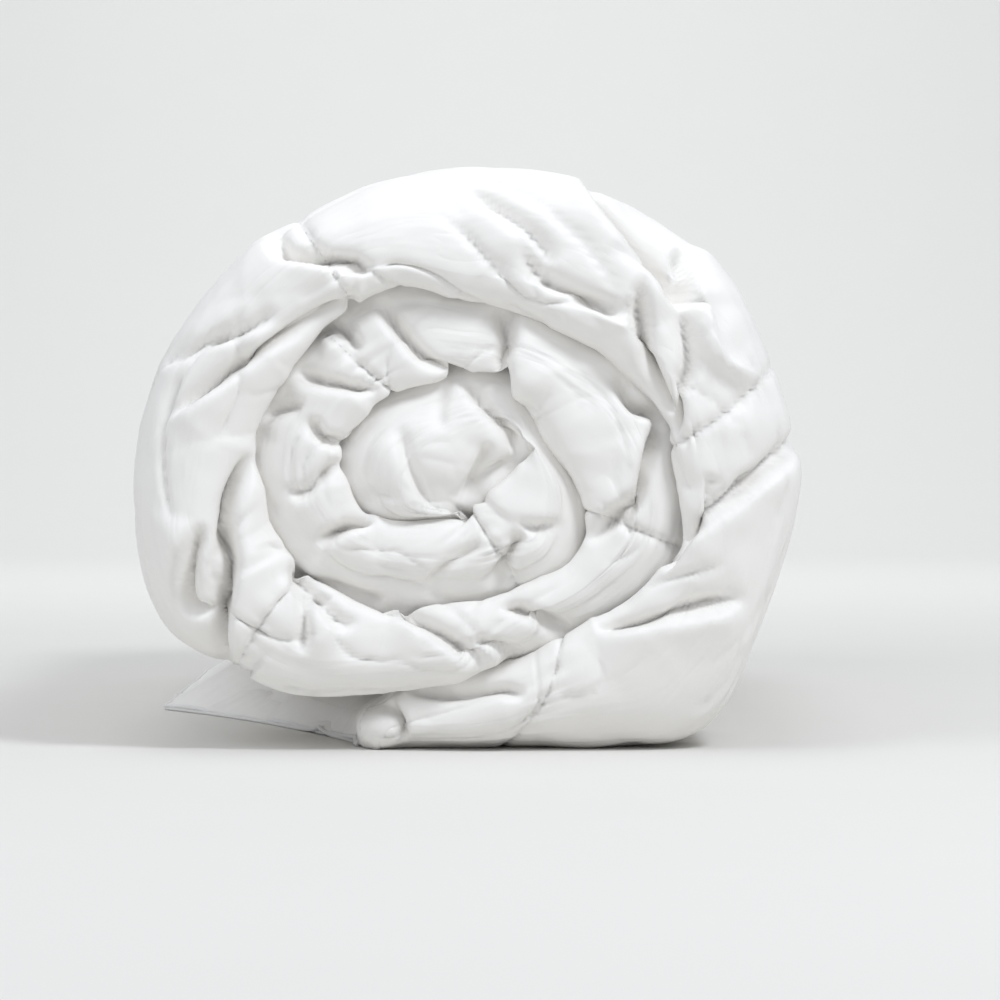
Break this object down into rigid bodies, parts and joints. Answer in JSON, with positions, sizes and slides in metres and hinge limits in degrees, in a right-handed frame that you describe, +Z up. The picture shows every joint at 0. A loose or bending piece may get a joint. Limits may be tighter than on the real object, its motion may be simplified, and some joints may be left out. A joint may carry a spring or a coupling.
{
  "type": "rolled down duvet",
  "caption": "Down duvet with a plain cotton cover, folded once along its length and rolled up, lying on its side with the folded edge to the front.",
  "frame": {"origin": "middle of the roll's footprint, on the floor", "axes": "+Y along the roll's axis, from the folded edge at the front to the two long hems at the back; +X to the right seen from the front; +Z up"},
  "size_m": [0.412, 0.7, 0.355],
  "materials": {
    "cover": "fine white down-proof cotton, slightly satin",
    "piping": "white cotton edge binding, double stitched",
    "tape": "matt white cotton tape",
    "down": "loose off-white down and small feathers"
  },
  "bodies": {
    "root": {"outer_cover": "cover", "inner_cover": "cover", "side_piping_outer": "piping", "side_piping_inner": "piping", "foot_piping": "piping", "head_piping": "piping", "long_tape_outer_1": "tape", "long_tape_outer_2": "tape", "long_tape_inner_1": "tape", "long_tape_inner_2": "tape", "cross_tape_1": "tape", "cross_tape_2": "tape", "cross_tape_3": "tape", "cross_tape_4": "tape", "cross_tape_5": "tape", "cross_tape_6": "tape", "cross_tape_7": "tape", "down_row1_outer_edge": "down", "down_row1_outer_middle": "down", "down_row1_fold": "down", "down_row1_inner_middle": "down", "down_row1_inner_edge": "down", "down_row2_outer_edge": "down", "down_row2_outer_middle": "down", "down_row2_fold": "down", "down_row2_inner_middle": "down", "down_row2_inner_edge": "down", "down_row3_outer_edge": "down", "down_row3_outer_middle": "down", "down_row3_fold": "down", "down_row3_inner_middle": "down", "down_row3_inner_edge": "down", "down_row4_outer_edge": "down", "down_row4_outer_middle": "down", "down_row4_fold": "down", "down_row4_inner_middle": "down", "down_row4_inner_edge": "down", "down_row5_outer_edge": "down", "down_row5_outer_middle": "down", "down_row5_fold": "down", "down_row5_inner_middle": "down", "down_row5_inner_edge": "down", "down_row6_outer_edge": "down", "down_row6_outer_middle": "down", "down_row6_fold": "down", "down_row6_inner_middle": "down", "down_row6_inner_edge": "down", "down_row7_outer_edge": "down", "down_row7_outer_middle": "down", "down_row7_fold": "down", "down_row7_inner_middle": "down", "down_row7_inner_edge": "down", "down_row8_outer_edge": "down", "down_row8_outer_middle": "down", "down_row8_fold": "down", "down_row8_inner_middle": "down", "down_row8_inner_edge": "down"}
  },
  "joints": []
}
